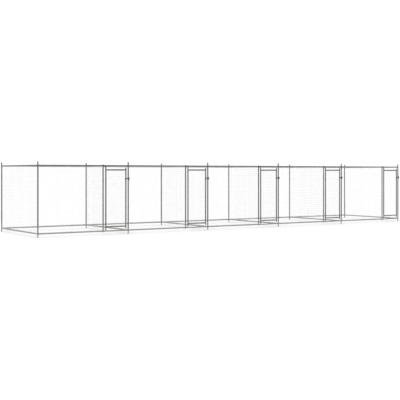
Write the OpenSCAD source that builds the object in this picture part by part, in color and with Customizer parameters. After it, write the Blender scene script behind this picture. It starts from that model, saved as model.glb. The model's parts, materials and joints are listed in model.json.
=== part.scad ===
// A row of outdoor kennels in galvanised round tube and welded wire mesh, each with its own gate.
// Millimetres. X runs along the row, Y to the back, Z up; the gates face -Y.
// The origin is on the ground at the middle of the row's footprint.

/* [Row] */
// Number of kennels side by side
bays = 5; // [1:1:5]
// Width of one kennel, post centre to post centre
bay_pitch = 2000; // [1600:10:2600]
// Depth of the row, post centre to post centre
run_depth = 2000; // [1200:10:3000]
// Height of the top rails' centre line
top_rail_z = 1410; // [1150:10:2100]
// Height of the bottom rails' centre line
bottom_rail_z = 70; // [50:5:150]

/* [Tube] */
// Outer diameter of every tube
tube_d = 25; // [20:0.5:32]
// Wall of every tube
tube_wall = 1.2; // [1:0.1:2]
// Height of the posts' tube above the top rails' centre line
post_above = 70; // [40:5:160]
// Length of a rail spigot, measured from the post's face
spigot_l = 50; // [35:1:80]
// Wall of a rail spigot
spigot_wall = 2; // [1.2:0.1:3]
// Diameter of the rail screws
screw_d = 4.8; // [3:0.1:6]

/* [Wire mesh] */
// Distance from wire to wire
mesh_pitch = 50; // [30:5:100]
// Diameter of the mesh wire
wire_d = 1.6; // [1.2:0.1:3]
// Depth of the folded channel that edges each mesh sheet
channel_depth = 6; // [4:0.5:10]
// Thickness of that channel's steel
channel_wall = 1; // [0.8:0.1:1.5]
// Diameter of the wire rings that tie a sheet to its tubes
ring_wire = 2.5; // [1.5:0.1:3.5]

/* [Gate] */
// Clear width from the gate's own post to the kennel's right-hand post
doorway = 556; // [450:1:900]
// Clear gap between the gate's post and its hinge stile
hinge_gap = 35; // [30:1:50]
// Clear gap between the latch stile and the right-hand post
latch_gap = 30; // [20:1:45]
// Distance from the kennel's rails to the gate's rails, centre to centre
gate_rail_inset = 85; // [70:1:150]
// Clear gap between the kennel's rails and the hinge stile's ends
hinge_stile_gap = 7.5; // [5:0.5:20]
// Clear gap between the kennel's rails and the latch stile's ends
latch_stile_gap = 27.5; // [5:0.5:35]
// Length of the gate's own post past the outer side of the kennel's rails
gate_post_past = 9.5; // [6:0.5:20]
// Diameter of the hinge pins
hinge_pin_d = 10; // [8:0.5:14]
// Length of the bush in each end of the hinge stile
hinge_eye_h = 22; // [16:1:40]

/* [Latch] */
// Distance from the top rails down to the latch's pivot
latch_drop = 270; // [200:5:400]
// Diameter of the latch's pivot
latch_pin_d = 10; // [6:0.5:12]
// Height of the latch bar
latch_bar_h = 22; // [16:1:30]
// Thickness of the latch bar
latch_bar_t = 5; // [4:0.5:8]
// Angle that the latch bar is lifted in the part's rest pose, just clear of its keeper
latch_rest_lift = 21; // [20:1:30]
// Length of the latch bar past the post's centre line
latch_reach = 20; // [16:1:50]

/* [Hidden] */
// clearances
seat_gap = 0.3;     // between pieces that rest on or against each other
slide_gap = 0.3;    // radial, where one piece slips inside another
pin_gap = 0.3;      // radial, round a hinge or latch pin
layer_gap = 0.1;    // between the two layers of mesh wires
plug_gap = 0.1;     // under the plugs and bushes in the ends of a welded gate frame
channel_play = 0.4; // spare width for the wires inside a channel
latch_clear = 1.5;  // from the mesh rings to the latch bar in front of them
cut_past = 1;       // how far a cutting shape runs past what it cuts

// tubes
tube_r = tube_d / 2;
tube_bore = tube_d - 2 * tube_wall;
stem_d = tube_bore - 2 * slide_gap;
cope_r = tube_r + seat_gap;

// posts, caps and feet
foot_t = 4;
stem_l = 12;
cap_rim = 2;
cap_rise = 8;
plug_t = 2;
row_l = bays * bay_pitch;
front_y = -run_depth / 2;
back_y = run_depth / 2;
post_top = top_rail_z + post_above;
rail_zs = [bottom_rail_z, top_rail_z];
mid_z = (bottom_rail_z + top_rail_z) / 2;
function post_x(j) = -row_l / 2 + j * bay_pitch;

// rails, spigots and screws
screw_in = 20;              // from the rail's end to its screw
screw_head_d = 2 * screw_d;
screw_head_t = 0.6 * screw_d;
screw_hole_d = screw_d + 2 * slide_gap;
screw_past = 2;             // from the spigot's inner side to the screw's tip

// the gate's lines, each measured from the kennel's right-hand post
gate_post_dx = -(doorway + tube_d);
hinge_stile_dx = gate_post_dx + hinge_gap + tube_d;
latch_stile_dx = -(latch_gap + tube_d);
gate_rail_zs = [bottom_rail_z + gate_rail_inset, top_rail_z - gate_rail_inset];
gate_post_over = tube_r + gate_post_past;
hinge_stile_over = gate_rail_inset - tube_r - hinge_stile_gap;
latch_stile_over = gate_rail_inset - tube_r - latch_stile_gap;

// hinges
eye_z = hinge_stile_gap - plug_gap;     // a bush's outer face, above the rail that carries its pin
collar_t = 2;
collar_d = hinge_pin_d + 6;
pin_end = 3;

// latch
latch_z = top_rail_z - latch_drop;
latch_boss_d = latch_pin_d + 8;
latch_head_d = latch_pin_d + 6;
latch_pin_root = tube_r + 2;    // the pin starts inside its boss
latch_pivot_r = latch_bar_h / 2 + 4;
latch_tail = 34;
latch_tab = 15;             // how far the lift tab stands forward of the bar
latch_tab_t = 4;
latch_tip_l = latch_gap + tube_d + latch_reach;
latch_head_t = 3;
keeper_t = 4;
keeper_tall = 60;
keeper_left = 9;
keeper_right = latch_reach - 2;
hook_w = 18;
hook_play = 0.8;
hook_lip = 6;               // top of the lip above the locked bar's centre line

// mesh sheets
channel_w = 2 * (wire_d + channel_wall) + channel_play;
layer_y = (wire_d + layer_gap) / 2;
bay_clear = bay_pitch - tube_d;
front_clear = bay_clear - doorway - tube_d;
side_clear = run_depth - tube_d;
frame_sheet_h = top_rail_z - bottom_rail_z - tube_d - 2 * seat_gap;
gate_sheet_w = latch_stile_dx - hinge_stile_dx - tube_d - 2 * seat_gap;
gate_sheet_h = gate_rail_zs[1] - gate_rail_zs[0] - tube_d - 2 * seat_gap;
function cells(l) = floor((l - 2 * channel_depth) / mesh_pitch);

// an edge ring is the smallest circle round a tube and the corners of the channel beside it, with clearance;
// a post ring goes round a post and every channel that meets it
ring_far = tube_r + seat_gap + channel_depth;
edge_ring_shift = (pow(ring_far, 2) + pow(channel_w / 2, 2) - pow(tube_r, 2)) / (2 * (tube_r + ring_far));
edge_ring_r = tube_r + edge_ring_shift + seat_gap + ring_wire / 2;
post_ring_r = norm([ring_far, channel_w / 2]) + seat_gap + ring_wire / 2;

// rings sit in the middle of a mesh cell, and move up a cell at a time until clear of the latch
ring_clear = 24;
frame_keep_clear = [latch_z - keeper_tall / 3, latch_z + keeper_tall / 3];
gate_keep_clear = [latch_z];
function cell_middle(l, share) = (floor(share * cells(l)) + 0.5 - cells(l) / 2) * mesh_pitch;
function blocked(z, keep) = len([for (k = keep) if (abs(k - z) < ring_clear) k]) > 0;
function moved_up(z, keep) = blocked(z, keep) ? moved_up(z + mesh_pitch, keep) : z;
function ring_zs(sheet_h, shares, keep) = [for (s = shares) moved_up(mid_z + cell_middle(sheet_h, s), keep)];
frame_ring_zs = ring_zs(frame_sheet_h, [1 / 6, 1 / 2, 5 / 6], frame_keep_clear);
gate_ring_zs = ring_zs(gate_sheet_h, [1 / 6, 3 / 5, 5 / 6], gate_keep_clear);

// distance of the latch bar's back face forward of the front plane, clear of the rings behind it
latch_back = post_ring_r + ring_wire / 2 + latch_clear;

tube_fn = 48;
wire_fn = 24;
dome_fn = 96;

bay_parts = ["front_mesh_", "back_mesh_", "gate_post_", "gate_frame_", "gate_mesh_",
             "gate_mesh_rings_", "gate_hinge_eyes_", "latch_bar_"];

// ---- tube stock and its fittings ----

// a tube standing on the XY plane
module tube(l) {
    difference() {
        cylinder(h = l, d = tube_d, $fn = tube_fn);
        translate([0, 0, -cut_past]) cylinder(h = l + 2 * cut_past, d = tube_bore, $fn = tube_fn);
    }
}

// a rail along +X from the origin, with a hole for its screw near each end; up is +1 or -1
module rail(l, up) {
    difference() {
        rotate([0, 90, 0]) tube(l);
        for (x = [screw_in, l - screw_in])
            translate([x, 0, 0]) mirror([0, 0, up < 0 ? 1 : 0])
                cylinder(h = tube_d, d = screw_hole_d, $fn = wire_fn);
    }
}

// runs its children at both ends of a rail's span, the second turned to face the first
module at_both_ends(span) {
    children();
    translate([span, 0, 0]) mirror([1, 0, 0]) children();
}

// the coped stub that a rail slips over, starting at the centre of its post
module spigot(up) {
    difference() {
        translate([tube_r - tube_wall, 0, 0]) rotate([0, 90, 0])
            cylinder(h = spigot_l + tube_wall, d = stem_d, $fn = tube_fn);
        rotate([0, 90, 0])
            cylinder(h = tube_r + spigot_l + cut_past, d = stem_d - 2 * spigot_wall, $fn = tube_fn);
        translate([0, 0, -tube_d]) cylinder(h = 2 * tube_d, r = cope_r, $fn = tube_fn);
        translate([cope_r + screw_in, 0, 0]) mirror([0, 0, up < 0 ? 1 : 0])
            cylinder(h = tube_d, d = screw_hole_d, $fn = wire_fn);
    }
}

// the screw that pins a rail to its spigot, seated on the rail
module screw(up) {
    tip_z = stem_d / 2 - spigot_wall - screw_past;
    head_z = tube_r + seat_gap;
    translate([cope_r + screw_in, 0, 0]) mirror([0, 0, up < 0 ? 1 : 0]) {
        translate([0, 0, tip_z]) cylinder(h = head_z - tip_z + screw_head_t / 2, d = screw_d, $fn = wire_fn);
        translate([0, 0, head_z]) cylinder(h = screw_head_t, d = screw_head_d, $fn = wire_fn);
    }
}

// a disc with a stem that plugs a tube's upper end at the origin
module plug() {
    cylinder(h = plug_t, d = tube_d, $fn = tube_fn);
    translate([0, 0, -stem_l]) cylinder(h = stem_l + plug_t / 2, d = stem_d, $fn = tube_fn);
}

// a post's cap: the same with a rim and a dome
module domed_cap() {
    dome_r = (pow(tube_r, 2) + pow(cap_rise, 2)) / (2 * cap_rise);
    translate([0, 0, -stem_l]) cylinder(h = stem_l + cap_rim / 2, d = stem_d, $fn = tube_fn);
    cylinder(h = cap_rim, d = tube_d, $fn = tube_fn);
    intersection() {
        translate([0, 0, cap_rim + cap_rise - dome_r]) sphere(r = dome_r, $fn = dome_fn);
        translate([0, 0, cap_rim]) cylinder(h = cap_rise + cut_past, d = tube_d, $fn = tube_fn);
    }
}

// each puts its children at the first post of every span of one kind, with +X along the span
module at_back_spans() for (i = [0 : bays - 1]) translate([post_x(i), back_y, 0]) children();
module at_side_spans() for (j = [0 : bays]) translate([post_x(j), front_y, 0]) rotate([0, 0, 90]) children();
module at_front_spans() for (i = [0 : bays - 1]) translate([post_x(i), front_y, 0]) children();
module at_doorways() for (i = [1 : bays]) translate([post_x(i) + gate_post_dx, front_y, 0]) children();

module rail_pair(clear) {
    for (k = [0, 1]) translate([cope_r, 0, rail_zs[k]]) rail(clear - 2 * seat_gap, 2 * k - 1);
}

module spigot_set(clear) {
    for (k = [0, 1]) translate([0, 0, rail_zs[k]]) at_both_ends(clear + tube_d) spigot(2 * k - 1);
}

module screw_set(clear) {
    for (k = [0, 1]) translate([0, 0, rail_zs[k]]) at_both_ends(clear + tube_d) screw(2 * k - 1);
}

// ---- frame ----

module front_posts() {
    color("gainsboro")
        for (j = [0 : bays]) translate([post_x(j), front_y, foot_t]) tube(post_top - foot_t);
}

module back_posts() {
    color("gainsboro")
        for (j = [0 : bays]) translate([post_x(j), back_y, foot_t]) tube(post_top - foot_t);
}

module tube_caps() {
    color("silver") {
        for (j = [0 : bays], y = [front_y, back_y]) translate([post_x(j), y, post_top]) domed_cap();
        at_doorways() {
            translate([0, 0, top_rail_z + gate_post_over - plug_t]) plug();
            translate([0, 0, bottom_rail_z - gate_post_over + plug_t]) mirror([0, 0, 1]) plug();
        }
    }
}

module post_feet() {
    color("dimgray")
        for (j = [0 : bays], y = [front_y, back_y]) translate([post_x(j), y, 0]) {
            cylinder(h = foot_t, d = tube_d, $fn = tube_fn);
            cylinder(h = foot_t + stem_l, d = stem_d, $fn = tube_fn);
        }
}

module front_rails() {
    color("gainsboro") {
        at_front_spans() rail_pair(front_clear);
        at_doorways() rail_pair(doorway);
    }
}

module back_rails() {
    color("gainsboro") at_back_spans() rail_pair(bay_clear);
}

module side_rails() {
    color("gainsboro") at_side_spans() rail_pair(side_clear);
}

module rail_spigots() {
    color("darkgray") {
        at_back_spans() spigot_set(bay_clear);
        at_side_spans() spigot_set(side_clear);
        at_front_spans() spigot_set(front_clear);
        at_doorways() spigot_set(doorway);
    }
}

module rail_screws() {
    color("silver") {
        at_back_spans() screw_set(bay_clear);
        at_side_spans() screw_set(side_clear);
        at_front_spans() screw_set(front_clear);
        at_doorways() screw_set(doorway);
    }
}

// the post that a gate hangs on, numbered from 1
module gate_post(i) {
    reach = gate_post_over - plug_t;
    color("gainsboro")
        translate([post_x(i) + gate_post_dx, front_y, bottom_rail_z - reach])
            tube(top_rail_z - bottom_rail_z + 2 * reach);
}

// ---- wire mesh ----

// a welded sheet in the XZ plane about the origin: two layers of wires in a folded edge channel
module wire_sheet(w, h) {
    nx = cells(w);
    nz = cells(h);
    difference() {
        cube([w, channel_w, h], center = true);
        cube([w - 2 * channel_depth, channel_w + 2 * cut_past, h - 2 * channel_depth], center = true);
        cube([w - 2 * channel_wall, channel_w - 2 * channel_wall, h - 2 * channel_wall], center = true);
    }
    for (i = [1 : nx - 1])
        translate([(i - nx / 2) * mesh_pitch, -layer_y, channel_wall - h / 2])
            cylinder(h = h - 2 * channel_wall, d = wire_d, $fn = wire_fn);
    for (k = [1 : nz - 1])
        translate([channel_wall - w / 2, layer_y, (k - nz / 2) * mesh_pitch]) rotate([0, 90, 0])
            cylinder(h = w - 2 * channel_wall, d = wire_d, $fn = wire_fn);
}

// a sheet between two uprights whose first stands at the origin
module frame_sheet(clear) {
    translate([tube_r + clear / 2, 0, mid_z]) wire_sheet(clear - 2 * seat_gap, frame_sheet_h);
}

module front_mesh(i) {
    color("whitesmoke") translate([post_x(i - 1), front_y, 0]) frame_sheet(front_clear);
}

module back_mesh(i) {
    color("whitesmoke") translate([post_x(i - 1), back_y, 0]) frame_sheet(bay_clear);
}

module side_mesh(j) {
    color("whitesmoke") translate([post_x(j - 1), front_y, 0]) rotate([0, 0, 90]) frame_sheet(side_clear);
}

// a closed wire ring in the XY plane
module ring(r) {
    rotate_extrude($fn = tube_fn) translate([r, 0]) circle(d = ring_wire, $fn = wire_fn);
}

// a ring round the tube along +Z at the origin and the one channel beside it, which lies towards +X
module edge_ring() {
    translate([edge_ring_shift, 0, 0]) ring(edge_ring_r);
}

// edge rings along the tubes below and above a sheet that starts at the post at the origin
module rail_rings(clear, shares, zs) {
    for (s = shares) translate([tube_r + clear / 2 + cell_middle(clear - 2 * seat_gap, s), 0, 0]) {
        translate([0, 0, zs[0]]) rotate([0, -90, 0]) edge_ring();
        translate([0, 0, zs[1]]) rotate([0, 90, 0]) edge_ring();
    }
}

module frame_rail_rings(clear) {
    rail_rings(clear, [1 / 6, 1 / 2, 5 / 6], rail_zs);
}

module post_rings(y) {
    for (j = [0 : bays], z = frame_ring_zs) translate([post_x(j), y, z]) ring(post_ring_r);
}

module front_mesh_rings() {
    color("silver") {
        at_front_spans() frame_rail_rings(front_clear);
        post_rings(front_y);
        at_doorways() for (z = frame_ring_zs) translate([0, 0, z]) mirror([1, 0, 0]) edge_ring();
    }
}

module back_mesh_rings() {
    color("silver") {
        at_back_spans() frame_rail_rings(bay_clear);
        post_rings(back_y);
    }
}

module side_mesh_rings() {
    color("silver") at_side_spans() frame_rail_rings(side_clear);
}

// ---- gates ----

// puts its children at a gate's hinge stile, on the front plane and the ground
module at_hinge_stile(i) translate([post_x(i) + hinge_stile_dx, front_y, 0]) children();

// welded frame of two stiles and two rails, with the latch stile's plugs and the latch's riveted pivot
module gate_frame(i) {
    width = latch_stile_dx - hinge_stile_dx;
    latch_over = latch_stile_over - plug_t;
    stiles = [[0, hinge_stile_over - plug_t], [width, latch_over]];
    color("gainsboro") at_hinge_stile(i) {
        difference() {
            union() {
                for (s = stiles)
                    translate([s[0], 0, gate_rail_zs[0] - s[1]])
                        cylinder(h = gate_rail_zs[1] - gate_rail_zs[0] + 2 * s[1], d = tube_d, $fn = tube_fn);
                for (z = gate_rail_zs) translate([0, 0, z]) rotate([0, 90, 0])
                    cylinder(h = width, d = tube_d, $fn = tube_fn);
            }
            for (s = stiles)
                translate([s[0], 0, 0]) cylinder(h = post_top, d = tube_bore, $fn = tube_fn);
            for (z = gate_rail_zs) translate([tube_r + tube_wall, 0, z]) rotate([0, 90, 0])
                cylinder(h = width - tube_d - 2 * tube_wall, d = tube_bore, $fn = tube_fn);
        }
        translate([width, 0, gate_rail_zs[1] + latch_over + plug_gap]) plug();
        translate([width, 0, gate_rail_zs[0] - latch_over - plug_gap]) mirror([0, 0, 1]) plug();
        translate([width, 0, latch_z]) latch_pivot();
    }
}

// a boss coped to the stile, with a pin through the bar and a riveted head
module latch_pivot() {
    head_at = latch_back + latch_bar_t + seat_gap;
    rotate([90, 0, 0]) {
        difference() {
            cylinder(h = latch_back - seat_gap, d = latch_boss_d, $fn = tube_fn);
            rotate([90, 0, 0]) translate([0, 0, -tube_d]) cylinder(h = 2 * tube_d, r = cope_r, $fn = tube_fn);
        }
        translate([0, 0, latch_pin_root])
            cylinder(h = head_at + latch_head_t / 2 - latch_pin_root, d = latch_pin_d, $fn = tube_fn);
        translate([0, 0, head_at]) cylinder(h = latch_head_t, d = latch_head_d, $fn = tube_fn);
    }
}

module gate_mesh(i) {
    color("whitesmoke") at_hinge_stile(i)
        translate([tube_r + seat_gap + gate_sheet_w / 2, 0, mid_z]) wire_sheet(gate_sheet_w, gate_sheet_h);
}

module gate_mesh_rings(i) {
    clear = gate_sheet_w + 2 * seat_gap;
    color("silver") at_hinge_stile(i) {
        rail_rings(clear, [1 / 4, 3 / 4], gate_rail_zs);
        for (z = gate_ring_zs) translate([0, 0, z]) at_both_ends(clear + tube_d) edge_ring();
    }
}

// ---- hinges: pins welded to the kennel's rails turn in bushes in the hinge stile's ends ----

// puts its children at both hinges, on the surface of their rails: the upper one hangs upside down
module at_hinges(i) {
    translate([post_x(i) + hinge_stile_dx, front_y, mid_z])
        for (s = [0, 1]) mirror([0, 0, s]) translate([0, 0, bottom_rail_z + tube_r - mid_z]) children();
}

// the pin's foot is coped to the rail, and a collar on it carries the bush
module pintle() {
    difference() {
        translate([0, 0, -tube_r])
            cylinder(h = tube_r + eye_z + hinge_eye_h + pin_end, d = hinge_pin_d, $fn = tube_fn);
        translate([-tube_d, 0, -tube_r]) rotate([0, 90, 0])
            cylinder(h = 2 * tube_d, r = cope_r, $fn = tube_fn);
    }
    translate([0, 0, eye_z - seat_gap - collar_t]) cylinder(h = collar_t, d = collar_d, $fn = tube_fn);
}

module hinge_pintles() {
    color("darkgray") for (i = [1 : bays]) at_hinges(i) pintle();
}

// a bored bush, whose rim closes the stile's end
module hinge_eye() {
    translate([0, 0, eye_z]) difference() {
        union() {
            cylinder(h = plug_t, d = tube_d, $fn = tube_fn);
            translate([0, 0, plug_t / 2]) cylinder(h = hinge_eye_h - plug_t / 2, d = stem_d, $fn = tube_fn);
        }
        translate([0, 0, -cut_past])
            cylinder(h = hinge_eye_h + 2 * cut_past, d = hinge_pin_d + 2 * pin_gap, $fn = tube_fn);
    }
}

module gate_hinge_eyes(i) {
    color("darkgray") at_hinges(i) hinge_eye();
}

// ---- latch: a bar that drops into a hook on the right-hand post ----

module latch_bar(i) {
    h = latch_bar_h / 2;
    tab_y = -latch_bar_t - latch_tab;
    color("silver") translate([post_x(i) + latch_stile_dx, front_y - latch_back, latch_z])
        rotate([0, -latch_rest_lift, 0]) {
            rotate([90, 0, 0]) linear_extrude(latch_bar_t) difference() {
                union() {
                    polygon([[-latch_tail, -h], [latch_tip_l - h, -h], [latch_tip_l, -h / 3],
                             [latch_tip_l, h / 3], [latch_tip_l - h, h], [-latch_tail, h]]);
                    circle(r = latch_pivot_r, $fn = tube_fn);
                }
                circle(d = latch_pin_d + 2 * pin_gap, $fn = tube_fn);
            }
            // the tab that a hand lifts, bent forward at the bar's short end
            translate([-latch_tail - latch_tab_t, 0, 0]) rotate([90, 0, 90]) linear_extrude(latch_tab_t)
                polygon([[0, -h], [0, h], [tab_y + h / 2, h], [tab_y, h / 2],
                         [tab_y, -h / 2], [tab_y + h / 2, -h]]);
        }
}

// a plate with a saddle coped to the post, and a hook open at the top
module keeper() {
    plate_y = cope_r + keeper_t;
    lip_y = latch_back + latch_bar_t + hook_play + keeper_t;
    hook_z = latch_z - latch_bar_h / 2 - hook_play;
    difference() {
        union() {
            translate([-keeper_left, -plate_y, latch_z - keeper_tall / 2])
                cube([keeper_left + keeper_right, keeper_t, keeper_tall]);
            translate([-keeper_left, -plate_y, latch_z - keeper_tall / 2])
                cube([2 * keeper_left, plate_y - tube_r / 2, keeper_tall]);
        }
        cylinder(h = post_top, r = cope_r, $fn = tube_fn);
    }
    translate([keeper_right - hook_w, -lip_y, hook_z - keeper_t]) {
        cube([hook_w, lip_y - plate_y + keeper_t / 2, keeper_t]);
        cube([hook_w, keeper_t, latch_z + hook_lip - hook_z + keeper_t]);
    }
}

module latch_keepers() {
    color("darkgray") for (i = [1 : bays]) translate([post_x(i), front_y, 0]) keeper();
}

front_posts();
back_posts();
tube_caps();
post_feet();
front_rails();
back_rails();
side_rails();
rail_spigots();
rail_screws();
hinge_pintles();
latch_keepers();
front_mesh_rings();
back_mesh_rings();
side_mesh_rings();
for (j = [1 : bays + 1]) side_mesh(j);
for (i = [1 : bays]) {
    front_mesh(i);
    back_mesh(i);
    gate_post(i);
    gate_frame(i);
    gate_mesh(i);
    gate_mesh_rings(i);
    gate_hinge_eyes(i);
    latch_bar(i);
}
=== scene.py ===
# %% [markdown]
# # Finishing a row of outdoor kennels
# The construction arrives finished: posts, rails, gates, latches and mesh are CAD solids, packed as one
# frame. Blender adds what a solid model leaves out: galvanised and zinc-plated finishes, weld beads, formed
# tie rings and screw heads. This first cell loads the frame. Everything after it is in metres, in the
# frame's own axes: X along the row, Y from the gates to the back, Z up.

# %% Load the frame
import json
import math

import bmesh
import bpy
import numpy as np
from mathutils import Matrix, Vector
from mathutils.bvhtree import BVHTree


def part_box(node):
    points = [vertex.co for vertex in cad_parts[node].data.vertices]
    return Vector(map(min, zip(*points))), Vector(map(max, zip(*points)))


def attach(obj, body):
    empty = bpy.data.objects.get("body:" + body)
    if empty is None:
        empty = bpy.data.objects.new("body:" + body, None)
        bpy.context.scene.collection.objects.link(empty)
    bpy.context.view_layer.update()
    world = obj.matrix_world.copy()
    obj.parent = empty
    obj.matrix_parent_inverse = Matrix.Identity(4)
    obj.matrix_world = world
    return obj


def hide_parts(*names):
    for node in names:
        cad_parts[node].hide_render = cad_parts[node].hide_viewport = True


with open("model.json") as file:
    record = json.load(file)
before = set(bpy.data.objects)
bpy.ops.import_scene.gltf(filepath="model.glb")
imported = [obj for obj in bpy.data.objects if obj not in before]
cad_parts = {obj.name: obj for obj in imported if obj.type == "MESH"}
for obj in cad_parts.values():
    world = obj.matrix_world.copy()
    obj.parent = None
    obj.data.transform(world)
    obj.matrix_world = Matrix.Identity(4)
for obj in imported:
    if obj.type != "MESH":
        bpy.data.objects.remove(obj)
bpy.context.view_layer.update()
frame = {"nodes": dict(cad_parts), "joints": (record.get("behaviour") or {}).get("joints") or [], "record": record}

nodes = frame["nodes"]

# %% [markdown]
# ## Where the camera stands
# A camera can be placed by eye, or worked out from features whose real places are known. The posts of this
# row stand 2 m apart, so the tops and feet of a few of them in the photograph fix everything: the camera
# stands well off the row's left end, at about eye height. It looks level, since the posts stay parallel in
# the picture. Only then does a small vertical shift bring the horizon to its height. The named image
# points below are in the photograph's pixels, and a later cell measures how far each one is off.

# %% Camera and image points
PHOTO_W = 400
PHOTO_H = 400
LONG_SIDE = max(PHOTO_W, PHOTO_H)
IMAGE_POINTS = {
    "left_edge": {"x": 1.2},
    "right_edge": {"x": 398.5},
    "top_edge": {"y": 161.4},
    "bottom_edge": {"y": 237.6},
    "front_post_1_top": {"x": 37.8, "y": 161.4},
    "front_post_1_foot": {"x": 37.8, "y": 237.6},
    "front_post_6_top": {"x": 397.9, "y": 164.3},
    "front_post_6_foot": {"x": 397.9, "y": 220.9},
    "back_post_1_top": {"x": 1.8, "y": 162.3},
    "back_post_6_top": {"x": 344.9, "y": 164.8},
    "gate_1_top_rail": {"x": 115.5, "y": 169.9},
    "gate_5_bottom_rail": {"x": 390.5, "y": 215.4},
    "latch_1": {"x": 128.2, "y": 178.7},
    "latch_2": {"x": 207.6, "y": 178.1},
    "latch_3": {"x": 278.3, "y": 177.5},
}
CAMERA_PLACE = Vector((-11.311, -16.268, 1.274))
CAMERA_YAW = math.radians(-33.5)
CAMERA_LENS = 74.8
SENSOR_WIDTH = 36.0
SHIFT_X = 0.0
SHIFT_Y = -0.0693
CLIP_END = 500

camera_data = bpy.data.cameras.new("camera")
camera_data.lens = CAMERA_LENS
camera_data.sensor_width = SENSOR_WIDTH
camera_data.sensor_fit = "AUTO"
camera_data.shift_x = SHIFT_X
camera_data.shift_y = SHIFT_Y
camera_data.clip_end = CLIP_END
camera = bpy.data.objects.new("camera", camera_data)
camera.location = CAMERA_PLACE
camera.rotation_euler = (math.radians(90), 0, CAMERA_YAW)
bpy.context.scene.collection.objects.link(camera)
bpy.context.scene.camera = camera
bpy.context.view_layer.update()
print("camera at", [round(v, 2) for v in CAMERA_PLACE], "lens", CAMERA_LENS, "mm")

# %% [markdown]
# ## A white studio
# The photograph shows the row on pure white. More light would bleach the steel too, so the white comes from
# what the camera sees instead. The world gives soft light to the steel, but anything that looks straight at
# it, in a reflection or through glass sees plain white. The floor's colour is treated the same way, and
# because it is still lit like any other surface it keeps a soft shadow under the tubes.
#
# The wires are far thinner than a pixel, so each panel is seen as a faint tint of whatever white is behind
# it. Sky and floor are both about 4 % brighter than full white: were they unequal, the tint would change at
# the horizon. One very broad sun, almost overhead, lights the rails more than the posts and blurs the
# shadow.

# %% Node helpers


def add_node(tree, kind, **values):
    """A shader node with some of its settings or input values filled in. To_Min is the input To Min."""
    node = tree.nodes.new(kind)
    for name, value in values.items():
        label = name.replace("_", " ")
        if label in node.inputs:
            node.inputs[label].default_value = value
        else:
            setattr(node, name, value)
    return node


def blank_material(name):
    """A material with an empty node tree, and that tree."""
    material = bpy.data.materials.new(name)
    material.use_nodes = True
    material.node_tree.nodes.clear()
    return material, material.node_tree


def seen_directly(tree):
    """1 for camera, glossy and transmission rays and 0 for the rays that carry light around."""
    path = add_node(tree, "ShaderNodeLightPath")
    first = add_node(tree, "ShaderNodeMath", operation="MAXIMUM")
    both = add_node(tree, "ShaderNodeMath", operation="MAXIMUM")
    link = tree.links.new
    link(path.outputs["Is Camera Ray"], first.inputs[0])
    link(path.outputs["Is Glossy Ray"], first.inputs[1])
    link(first.outputs[0], both.inputs[0])
    link(path.outputs["Is Transmission Ray"], both.inputs[1])
    return both.outputs[0]


bpy.context.scene.view_settings.view_transform = "Standard"
print("view transform:", bpy.context.scene.view_settings.view_transform)

# %% [markdown]
# The world can be a picture of a studio, a sky, or one flat colour. Nothing in this photograph calls for
# more than the flat colour. A Map Range node picks its strength: the lower value is the light that reaches
# the steel, and the higher one is what the camera sees.

# %% World
WORLD_LIGHT = 0.4
WORLD_SEEN = 1.04

world = bpy.data.worlds.new("white_studio")
bpy.context.scene.world = world
world.use_nodes = True
tree = world.node_tree
tree.nodes.clear()
strength = add_node(tree, "ShaderNodeMapRange", To_Min=WORLD_LIGHT, To_Max=WORLD_SEEN)
background = add_node(tree, "ShaderNodeBackground", Color=(1, 1, 1, 1))
output = add_node(tree, "ShaderNodeOutputWorld")
link = tree.links.new
link(seen_directly(tree), strength.inputs["Value"])
link(strength.outputs["Result"], background.inputs["Strength"])
link(background.outputs["Background"], output.inputs["Surface"])
print("world light:", WORLD_LIGHT, "seen as", WORLD_SEEN)

# %% [markdown]
# The floor reaches so far that its edge meets the sky at the horizon, white on white. The sun lamp has an
# angle of 120 degrees, which makes it more like a bright overcast sky than a sun. Its shadow is too soft to
# show as more than a trace, and the photograph has none at all.

# %% Floor and sun
FLOOR_SIZE = 600
FLOOR_COLOR = 0.8
FLOOR_SEEN = 1.0
SUN_LIGHT = 2.05
SUN_ANGLE = math.radians(120)
SUN_FROM = Vector((-0.15, 0, 1))

floor_material, tree = blank_material("white_floor")
tone = add_node(tree, "ShaderNodeMapRange", To_Min=FLOOR_COLOR, To_Max=FLOOR_SEEN)
diffuse = add_node(tree, "ShaderNodeBsdfDiffuse")
output = add_node(tree, "ShaderNodeOutputMaterial")
link = tree.links.new
link(seen_directly(tree), tone.inputs["Value"])
link(tone.outputs["Result"], diffuse.inputs["Color"])
link(diffuse.outputs["BSDF"], output.inputs["Surface"])

mesh = bpy.data.meshes.new("floor")
bm = bmesh.new()
bmesh.ops.create_grid(bm, x_segments=1, y_segments=1, size=FLOOR_SIZE / 2)
bm.to_mesh(mesh)
bm.free()
floor = bpy.data.objects.new("floor", mesh)
floor.data.materials.append(floor_material)
bpy.context.scene.collection.objects.link(floor)

sun_data = bpy.data.lights.new("sun", "SUN")
sun_data.energy = SUN_LIGHT
sun_data.angle = SUN_ANGLE
sun = bpy.data.objects.new("sun", sun_data)
sun.rotation_euler = SUN_FROM.to_track_quat("Z", "Y").to_euler()
bpy.context.scene.collection.objects.link(sun)
print("floor:", FLOOR_SIZE, "m across, sun:", SUN_LIGHT)

# %% [markdown]
# ## Galvanised steel
# Hot-dip zinc freezes on steel in crystals a few millimetres to a centimetre wide, the spangle, each
# reflecting a slightly different grey, and it dulls to a matt patina within weeks. An image of real zinc
# would need unwrapped tubes. A Voronoi texture in Object coordinates needs none, and it runs unbroken round
# any tube. It is a node group, so the tubes, the wires and the fittings share it at their own scales.

# %% Spangle group


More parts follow.
